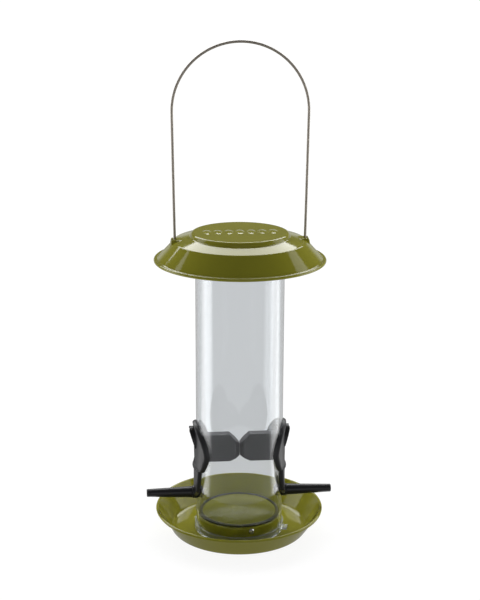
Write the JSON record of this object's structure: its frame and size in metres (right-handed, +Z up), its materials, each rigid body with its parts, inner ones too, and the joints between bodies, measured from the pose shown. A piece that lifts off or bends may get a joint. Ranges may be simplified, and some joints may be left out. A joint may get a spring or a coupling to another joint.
{
  "type": "hanging tube seed feeder",
  "caption": "Hanging seed feeder: a clear tube with opposed feed ports and perches, between a pressed green lid that slides up a wire bail and a round green seed tray.",
  "frame": {"origin": "on the tube's axis at the underside of the tray", "axes": "+Z up along the tube, ports and perches on -X and +X, the bail's plane is XZ"},
  "size_m": [0.151, 0.136, 0.3941],
  "materials": {
    "green_enamel": "glossy enamel over pressed steel",
    "steel_wire": "plain drawn wire, slightly dull",
    "clear_plastic": "clear extruded plastic",
    "black_plastic": "moulded black, satin",
    "seal_rubber": "matt black",
    "screw_steel": "bright plated"
  },
  "bodies": {
    "feeder": {"tube": "clear_plastic", "foot_ring": "clear_plastic", "tray": "green_enamel", "base_dome": "green_enamel", "dome_seal": "seal_rubber", "hub_screws": "screw_steel", "port_shell_right": "black_plastic", "port_baffle_right": "black_plastic", "perch_right": "black_plastic", "perch_clip_right": "black_plastic", "port_shell_left": "black_plastic", "port_baffle_left": "black_plastic", "perch_left": "black_plastic", "perch_clip_left": "black_plastic"},
    "bail": {"handle": "steel_wire"},
    "cover": {"lid": "green_enamel"}
  },
  "joints": [
    {"name": "handle_swing", "type": "hinge", "parent": "feeder", "child": "bail", "pos_m": [0, 0, 0.2183], "axis": [-1, 0, 0], "range_deg": [0, 30]},
    {"name": "lid_lift", "type": "slide", "parent": "bail", "child": "cover", "axis": [0, 0, 1], "range_m": [0, 0.09]}
  ],
  "couplings": [
    {"joint": "handle_swing", "follows": "lid_lift", "rad_per_m": 5.8}
  ]
}
